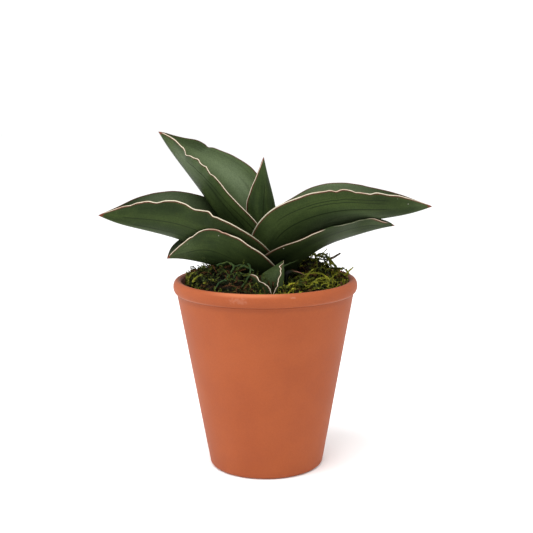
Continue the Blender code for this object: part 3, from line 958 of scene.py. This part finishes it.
# Patches of colour and height: x, y, radius (mm), then how olive, brown, and upright
mossPatches = (
    (-50, -8, 9, 0.9, 0, 0.2),
    (-47, -30, 6, 0.7, 0, 0),
    (-42, 8, 12, 0.2, 0.4, -0.1),
    (-33, -24, 12, 0, 0.4, 0),
    (-22, -32, 10, 0.05, 0.35, 0),
    (-31, -46, 6, 0.4, 0.1, 0),
    (-8, -50, 7, 0.3, 0.1, 0),
    (-18, -45, 9, 0.1, 0.3, 0),
    (8, -52, 5, 0.9, 0, 0.1),
    (22, -49, 5, 0.75, 0, 0),
    (19, -18, 8, 0.5, 0, 0.1),
    (36, -40, 8, 0.85, 0.1, 0),
    (44, -18, 10, 0.5, 0.1, 0),
    (50, -14, 7, 0.7, 0.1, 0),
    (54, 9, 8, 0.7, 0.1, -0.15),
    (33, 1, 9, 0.5, 0, 0),
    (44, 8, 10, 0.5, 0, -0.12),
    (44, 24, 10, 0.5, 0.2, -0.15),
    (10, 48, 14, 0.6, 0.2, 0.1),
    (-25, 42, 14, 0.45, 0.3, 0.1),
)

# Strands seen one by one. Their looks: stem radius, leaflets, gaps and wobble (mm), then shares
strandLooks = dict(
    curl=dict(stem=0.7, leaflet=0.8, gap=0.9, wobble=0.6, olive=0.3, brown=0, blueGreen=0.8),
    leafy=dict(stem=0.7, leaflet=1.4, gap=0.35, wobble=0.6, olive=0.85, brown=0, blueGreen=0),
    wisp=dict(stem=0.75, leaflet=0.9, gap=0.35, wobble=0.6, olive=0.6, brown=0, blueGreen=0.1),
    twig=dict(stem=1, leaflet=0.4, gap=2, wobble=0.1, olive=0, brown=0, blueGreen=0),
)

# The pad they lie on, their look, and the places that each one passes (mm)
drawnStrands = {
    ("mossFrontLeft", "curl"): (
        ((-23, -27, 150), (-21, -30, 148), (-23, -34, 145), (-26, -40, 142), (-31, -44, 139),
         (-33, -49, 136)),
        ((-14, -29, 149), (-18, -31, 147), (-19, -35, 145), (-21, -40, 142)),
        ((-12, -27, 150), (-10, -31, 147), (-10, -35, 145), (-11, -39, 142)),
        ((-11, -38, 143), (-13, -43, 140), (-16, -48, 137)),
        ((-27, -42, 141), (-23, -41, 141), (-18, -41, 141)),
        ((-33, -29, 149), (-29, -27, 150), (-26, -27, 151), (-23, -28, 149)),
        ((-20, -33, 146), (-16, -36, 144), (-13, -36, 144)),
        ((-22, -30, 148), (-17, -29, 149), (-13, -31, 148), (-8, -34, 146))),
    ("mossFrontLeft", "leafy"): (
        ((-49, -36, 139), (-46, -33, 142), (-42, -33, 143)),
        ((-53, -16, 138), (-50, -19, 142), (-47, -24, 143)),
        ((-41, -43, 139), (-37, -40, 141), (-32, -42, 140))),
    ("mossFrontRight", "leafy"): (
        ((26, -25, 141), (33, -22, 142), (40, -24, 141), (43, -32, 139), (42, -42, 136)),
        ((21, -38, 138), (24, -33, 140), (28, -33, 140)),
        ((31, -39, 138), (36, -34, 140), (41, -31, 140)),
        ((14, -50, 137), (17, -46, 139), (22, -44, 139)),
        ((56, -1, 137), (59, 0, 139), (62, 0, 142)),
        ((31, 2, 153), (31, 1, 150), (33, 0, 146), (34, -1, 142)),
        ((34, 4, 152), (36, 4, 149), (38, 4, 145), (39, 2, 141)),
        ((35, 5, 148), (38, 5, 146), (42, 4, 143), (45, 3, 140))),
    ("mossFrontRight", "wisp"): (
        ((57, 0, 141), (58, 0, 139), (60, 0, 137)),
        ((29, 2, 151), (28, 0, 148), (28, -2, 144), (27, -3, 140)),
        ((33, 5, 151), (37, 5, 150), (41, 5, 149), (44, 5, 148), (48, 4, 144), (51, 3, 140)),
        ((36, 6, 149), (39, 7, 151), (43, 7, 150), (46, 7, 147), (50, 5, 143), (52, 4, 139)),
        ((42, 5, 148), (43, 4, 145), (45, 3, 141)),
        ((46, 5, 146), (47, 4, 143), (47, 3, 139))),
    ("mossBackRight", "twig"): (
        ((44, 9, 146), (49, 9, 148), (54, 9, 151)),),
}

# Flat lids that keep the moss low, the first one off the pup's face: x, y, radius, height (mm)
mossLids = (
    (2, -49, 8, 134.2),
    (53, 6, 10, 142.0),
    (53, 22, 9, 140.5),
    (40, 6, 7, 148.5),
)


def joinMeshes(name, meshes):
    # several meshes as one, each keeping its own material slots
    objects = [linked(name, mesh) for mesh in meshes]
    with bpy.context.temp_override(
            active_object=objects[0], selected_editable_objects=objects, selected_objects=objects):
        bpy.ops.object.join()
    mesh = objects[0].data
    bpy.data.objects.remove(objects[0])
    return mesh


def makeLid(x, y, radius, height):
    ring = np.radians(np.arange(0, 360, 30))
    points = np.stack([x + radius * np.cos(ring), y + radius * np.sin(ring), 0 * ring + height], 1)
    return meshFrom("lid", points / 1000, [tuple(range(12))])


def mossTop(x, y):
    moss = mossValues
    radius = math.hypot(x, y)
    lump = noise.noise(Vector((x, y, 0.0)) * moss["lumpScale"]) * moss["lump"]
    lump += noise.noise(Vector((x, y, 0.3)) * 45) * 0.003
    for px, py, reach, height in mossMounds:
        lump += height / 1000 * math.exp(-((x * 1000 - px) ** 2 + (y * 1000 - py) ** 2) / reach**2)
    outer, outerWidth = moss["fallOut"]
    inner, innerWidth = moss["fallIn"]
    nearEdge = min(1, (outer - radius) / outerWidth, (radius - inner) / innerWidth)
    top = moss["bottom"] + moss["edgeHeight"] + (moss["rise"] + lump) * max(0, nearEdge) ** 0.5
    # the bed stays under the leaves and the lids
    start = Vector((x, y, moss["lookFrom"]))
    hit = leafRoof.ray_cast(start, Vector((0, 0, 1)), moss["lookLength"])[0]
    return top if hit is None else max(0.1195, min(top, hit.z - 0.0015))


def patchWeights(x, y):
    # olive, brown and upright shares at a place, from the patches round it
    total = 0.35
    sums = np.array([0.3, 0.22, 0.03]) * total
    for px, py, radius, *shares in mossPatches:
        away = math.hypot(x * 1000 - px, y * 1000 - py) / radius
        weight = math.exp(-away * away)
        total += weight
        sums = sums + weight * np.array(shares)
    return sums / total


def bedMesh(name, start, end):
    # the strands grow on the top only, and the bed is the closed pad
    moss = mossValues
    steps = 44
    rows = 26
    tops = []
    for a in range(steps + 1):
        angle = math.radians(start + (end - start) * a / steps)
        for b in range(rows + 1):
            radius = moss["innerRadius"] + (moss["outerRadius"] - moss["innerRadius"]) * b / rows
            x = radius * math.cos(angle)
            y = radius * math.sin(angle)
            tops.append((x, y, mossTop(x, y)))
    wide = rows + 1
    topFaces = []
    for first in range(steps * wide):
        if first % wide < rows:
            topFaces.append((first, first + 1, first + wide + 1, first + wide))
    emitter = meshFrom(name + "Top", tops, topFaces)
    outwardNormals(emitter)
    if emitter.polygons[0].normal.z < 0:
        emitter.flip_normals()
    olive, brown, upright = np.array([patchWeights(x, y) for x, y, z in tops]).T
    storePoints(emitter, olive=olive, brown=brown, upright=upright, bedHeight=[z for x, y, z in tops])
    count = len(tops)
    faces = topFaces + [tuple(count + v for v in face[::-1]) for face in topFaces]
    rim = [a * wide for a in range(steps + 1)]
    rim += [steps * wide + b for b in range(1, wide)]
    rim += [a * wide + rows for a in range(steps - 1, -1, -1)]
    rim += list(range(rows - 1, 0, -1))
    faces += [(here, after, count + after, count + here) for here, after in zip(rim, rim[1:] + rim[:1])]
    bed = meshFrom(name + "Bed", tops + [(x, y, moss["bottom"]) for x, y, z in tops], faces)
    outwardNormals(bed)
    bed.materials.append(earth["mossBed"])
    return emitter, bed


def randomFloat(low, high, seed):
    return addNode("FunctionNodeRandomValue", {2: low, 3: high, "Seed": seed})[1]


def storeIn(geometry, name, value, kind="FLOAT"):
    values = {"Geometry": geometry, "Name": name, "Value": value}
    return shapeNode("StoreNamedAttribute", values, data_type=kind, domain="POINT")[0]


def readNamed(name, kind="FLOAT"):
    return shapeNode("InputNamedAttribute", {"Name": name}, data_type=kind)["Attribute"]


def dressCurves(curves, source, sides):
    # turns curves into stems with small pointed leaflets all round
    seed = source["Seed"]
    factor = shapeNode("SplineParameter")["Factor"]
    curves = storeIn(curves, "tip", factor)
    ring = shapeNode("CurvePrimitiveCircle", {"Resolution": sides, "Radius": 1.0})[0]
    stems = shapeNode("CurveToMesh", {
        "Curve": curves, "Profile Curve": ring, "Fill Caps": True,
        "Scale": source["Stem Radius"] * (factor * -0.45 + 1.1)})[0]
    dots = shapeNode("CurveToPoints", {"Curve": curves, "Length": source["Leaflet Gap"]}, mode="LENGTH")
    leaflet = shapeNode("MeshCone", {
        "Vertices": 3, "Side Segments": 1, "Fill Segments": 1, "Radius Top": 0.0,
        "Radius Bottom": 0.36, "Depth": 1.0}, fill_type="NGON")["Mesh"]
    spin = shapeNode("InputIndex")[0] * 2.4
    turnBy = addNode("FunctionNodeEulerToRotation", {0: joined(0, randomFloat(0.5, 1.1, seed), spin)})[0]
    facing = addNode("FunctionNodeRotateRotation", {
        "Rotation": dots["Rotation"], "Rotate By": turnBy}, rotation_space="LOCAL")[0]
    size = source["Leaflet Length"] * randomFloat(0.6, 1.25, seed)
    spikes = shapeNode("InstanceOnPoints", {
        "Points": dots["Points"], "Instance": leaflet, "Rotation": facing,
        "Scale": vectorCalc("SCALE", (1, 0.55, 1), scale=size)})[0]
    spikes = shapeNode("RealizeInstances", {0: spikes})[0]
    both = opened["tree"].nodes.new("GeometryNodeJoinGeometry")
    for part in (spikes, stems):
        fill(both, {0: part})
    return closeShape(nodeOutput(both.outputs[0]), source["Material"])


def makeMossTree():
    source = openGroup("GeometryNodeTree", "mossStrands", {
        "Geometry": "Geometry", "Leaves": "Object", "Seed": 5, "Material": "Material", **strandValues},
        ("Geometry",))
    moss = mossValues
    seed = source["Seed"]
    points = shapeNode("DistributePointsOnFaces", {
        "Mesh": source["Geometry"], "Density": source["Density"], "Seed": seed},
        distribute_method="RANDOM")["Points"]
    points = storeIn(points, "tint", randomFloat(0, 1, seed))
    drift = addNode("FunctionNodeRandomValue", {
        0: (-9.0, -9.0, -9.0), 1: (9.0, 9.0, 9.0), "Seed": seed}, data_type="FLOAT_VECTOR")[0]
    points = storeIn(points, "drift", drift, "FLOAT_VECTOR")
    # a random way to lie, more upright where the patches say so
    angle = randomFloat(0, 2 * math.pi, seed)
    upright = source["Lie"] + readNamed("upright") + randomFloat(-0.15, 0.3, seed)
    way = joined(calc("COSINE", angle), calc("SINE", angle), upright)
    facing = addNode("FunctionNodeAlignRotationToVector", {"Vector": way}, axis="Z")[0]
    line = shapeNode("CurvePrimitiveLine", {"Start": (0, 0, 0), "End": (0, 0, 1)})[0]
    line = shapeNode("ResampleCurve", {"Curve": line, "Count": 12})[0]
    size = source["Length"] * (source["Length Spread"] * randomFloat(-1, 1, seed) + 1)
    strands = shapeNode("InstanceOnPoints", {
        "Points": points, "Instance": line, "Rotation": facing,
        "Scale": vectorCalc("SCALE", (1, 1, 1), scale=size)})[0]
    strands = shapeNode("RealizeInstances", {0: strands})[0]
    # curl: noise that grows along the strand
    where = shapeNode("InputPosition")[0]
    factor = shapeNode("SplineParameter")["Factor"]
    moved = vectorCalc("ADD", where, vectorCalc("SCALE", readNamed("drift", "FLOAT_VECTOR"), scale=0.02))
    swirl = vectorCalc("SUBTRACT", noiseAt(moved, source["Curl Scale"], 1, output=1), (0.5, 0.5, 0.5))
    grow = calc("POWER", factor, 1.1) * (source["Curl"] * 2.2)
    strands = shapeNode("SetPosition", {
        "Geometry": strands, "Offset": vectorCalc("SCALE", swirl, scale=grow)})[0]
    # strands stay inside the pot, above the bed, and under the leaves and the lids
    x, y, height = split(where)
    radius = vectorCalc("LENGTH", vectorCalc("MULTIPLY", where, (1, 1, 0)))
    wallStart, widening, widest = moss["wall"]
    limit = calc("MINIMUM", (height - moss["bottom"]) * widening + wallStart, widest) - remap(
        x, -0.043, -0.057, 0.0, 0.0025)
    shrink = calc("MINIMUM", limit / radius, 1.0)
    x = x * shrink
    y = y * shrink
    z = calc("MAXIMUM", height, readNamed("bedHeight") + 0.0002)
    shade = shapeNode("ObjectInfo", {"Object": source["Leaves"]}, transform_space="ORIGINAL")["Geometry"]
    ray = shapeNode("Raycast", {
        "Target Geometry": shade, "Source Position": joined(x, y, moss["lookFrom"]),
        "Ray Direction": (0, 0, 1), "Ray Length": moss["lookLength"]})
    roof = split(ray["Hit Position"])[2] + (1.0 - ray["Is Hit"])
    strands = shapeNode("SetPosition", {
        "Geometry": strands, "Position": joined(x, y, calc("MINIMUM", z, roof - 0.0009))})[0]
    # height above the bed, which the finish turns into painted shade
    high = (height - readNamed("bedHeight")) / 0.004
    return dressCurves(storeIn(strands, "high", high), source, 4)


def makeDrawnTree():
    # strands along the edges it is given
    source = openGroup("GeometryNodeTree", "drawnStrands", {
        "Geometry": "Geometry", "Stem Radius": 0.0005, "Leaflet Gap": 0.0006, "Leaflet Length": 0.001,
        "Seed": 3, "Material": "Material"}, ("Geometry",))
    return dressCurves(shapeNode("MeshToCurve", {0: source["Geometry"]})[0], source, 5)


def drawnMesh(name, look, strands):
    values = strandLooks[look]
    points = []
    edges = []
    for places in strands:
        steps = np.linspace(0, 1, 8 * len(places))
        line = np.stack([eased([p[k] / 1000 for p in places], steps) for k in range(3)], 1)
        first = len(points)
        points += [
            p + np.array(noise.noise_vector(Vector(p) * 300) * values["wobble"] / 1000) for p in line]
        edges += [(k, k + 1) for k in range(first, len(points) - 1)]
    mesh = meshFrom(name, points, [], edges)
    storePoints(
        mesh, tint=[noise.noise(Vector(p) * 60) + 0.5 for p in points], high=1,
        olive=values["olive"], brown=values["brown"], blueGreen=values["blueGreen"])
    return runTree(name, mesh, drawnTree, {
        "Stem Radius": values["stem"] / 1000,
        "Leaflet Gap": values["gap"] / 1000,
        "Leaflet Length": values["leaflet"] / 1000,
        "Seed": 3,
        "Material": earth["stalkBrown"] if look == "twig" else mossGreen,
    })


leafShade = linked("leafShade", joinMeshes(
    "leafShade", [leaf.data.copy() for leaf in leaves] + [makeLid(*lid) for lid in mossLids]))
leafShade.hide_render = True
leafRoof = BVHTree.FromPolygons(
    [v.co for v in leafShade.data.vertices], [tuple(p.vertices) for p in leafShade.data.polygons])
mossTree = makeMossTree()
drawnTree = makeDrawnTree()
for number, (name, (node, start, end)) in enumerate(mossPads.items()):
    gap = mossValues["seam"] / 2
    emitter, bed = bedMesh(name, start + gap, end - gap)
    strands = runTree(name + "Strands", emitter, mossTree, strandValues | {
        "Leaves": leafShade, "Seed": mossValues["seed"] + number, "Material": mossGreen})
    drawn = [
        drawnMesh(pad + look, look, lines) for (pad, look), lines in drawnStrands.items() if pad == name]
    both = joinMeshes(name, [strands, *drawn, bed])
    placePiece(both, name, node)
    print(name, "made:", sum(len(p.vertices) - 2 for p in both.polygons), "triangles")
bpy.data.objects.remove(leafShade)

for node, finish in (("soil", "soilEarth"), ("rhizome", "rhizomeTan")):
    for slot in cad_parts[node].material_slots:
        slot.material = earth[finish]


# Floor, lights and camera

# Soft studio light: a big soft box high up, and a weaker one on each side
lightValues = dict(
    sky=1.05,
    boxes=dict(
        softBoxHigh=dict(place=(-0.35, -0.6, 1.7), size=1.2, power=24),
        softBoxLeft=dict(place=(-1.3, -0.5, 0.6), size=0.9, power=6),
        softBoxRight=dict(place=(1.3, -0.5, 0.7), size=0.9, power=3),
    ),
)

# The photograph's camera, for a square picture
cameraValues = dict(
    place=(0.00093, -0.7, 0.259),
    lookDown=9.4,
    roll=-0.4,
    lens=67.6,
    sensor=36,
    near=0.05,
    far=50,
)

floorValues = dict(radius=8.0, shade=colour(0.95, 0.95, 0.95), other=colour(0.96, 0.96, 0.96))


def makeFloor():
    values = floorValues
    ring = np.radians(np.arange(0, 360, 3.75))
    points = [(values["radius"] * math.cos(a), values["radius"] * math.sin(a), 0) for a in ring]
    mesh = meshFrom("floor", points, [tuple(range(len(points)))])
    material = openMaterial("floorPaint", Roughness=0.9)
    paint = blend(noiseAt(objectPlace(), 3), values["shade"], values["other"])
    fill(opened["shader"], {"Base Color": paint})
    mesh.materials.append(material)
    linked("floor", mesh)


def makeLights():
    world = bpy.data.worlds.new("sky")
    world.use_nodes = True
    fill(world.node_tree.nodes["Background"], {"Color": colour(1, 1, 1), "Strength": lightValues["sky"]})
    bpy.context.scene.world = world
    for name, box in lightValues["boxes"].items():
        lamp = bpy.data.lights.new(name, "AREA")
        lamp.shape = "SQUARE"
        lamp.size = box["size"]
        lamp.energy = box["power"]
        light = linked(name, lamp)
        light.location = box["place"]
        aim = Vector((0, 0, 0.12)) - light.location
        light.rotation_euler = aim.to_track_quat("-Z", "Y").to_euler()


def makeCamera():
    values = cameraValues
    lens = bpy.data.cameras.new("camera")
    lens.lens = values["lens"]
    lens.sensor_width = values["sensor"]
    lens.clip_start = values["near"]
    lens.clip_end = values["far"]
    camera = linked("camera", lens)
    camera.location = values["place"]
    tilt = Matrix.Rotation(math.radians(90 - values["lookDown"]), 3, "X")
    roll = Matrix.Rotation(math.radians(values["roll"]), 3, "Z")
    camera.rotation_euler = (tilt @ roll).to_euler()
    bpy.context.scene.camera = camera


makeFloor()
makeLights()
makeCamera()
bpy.context.scene.view_settings.view_transform = "Standard"
print("floor, lights and camera made")
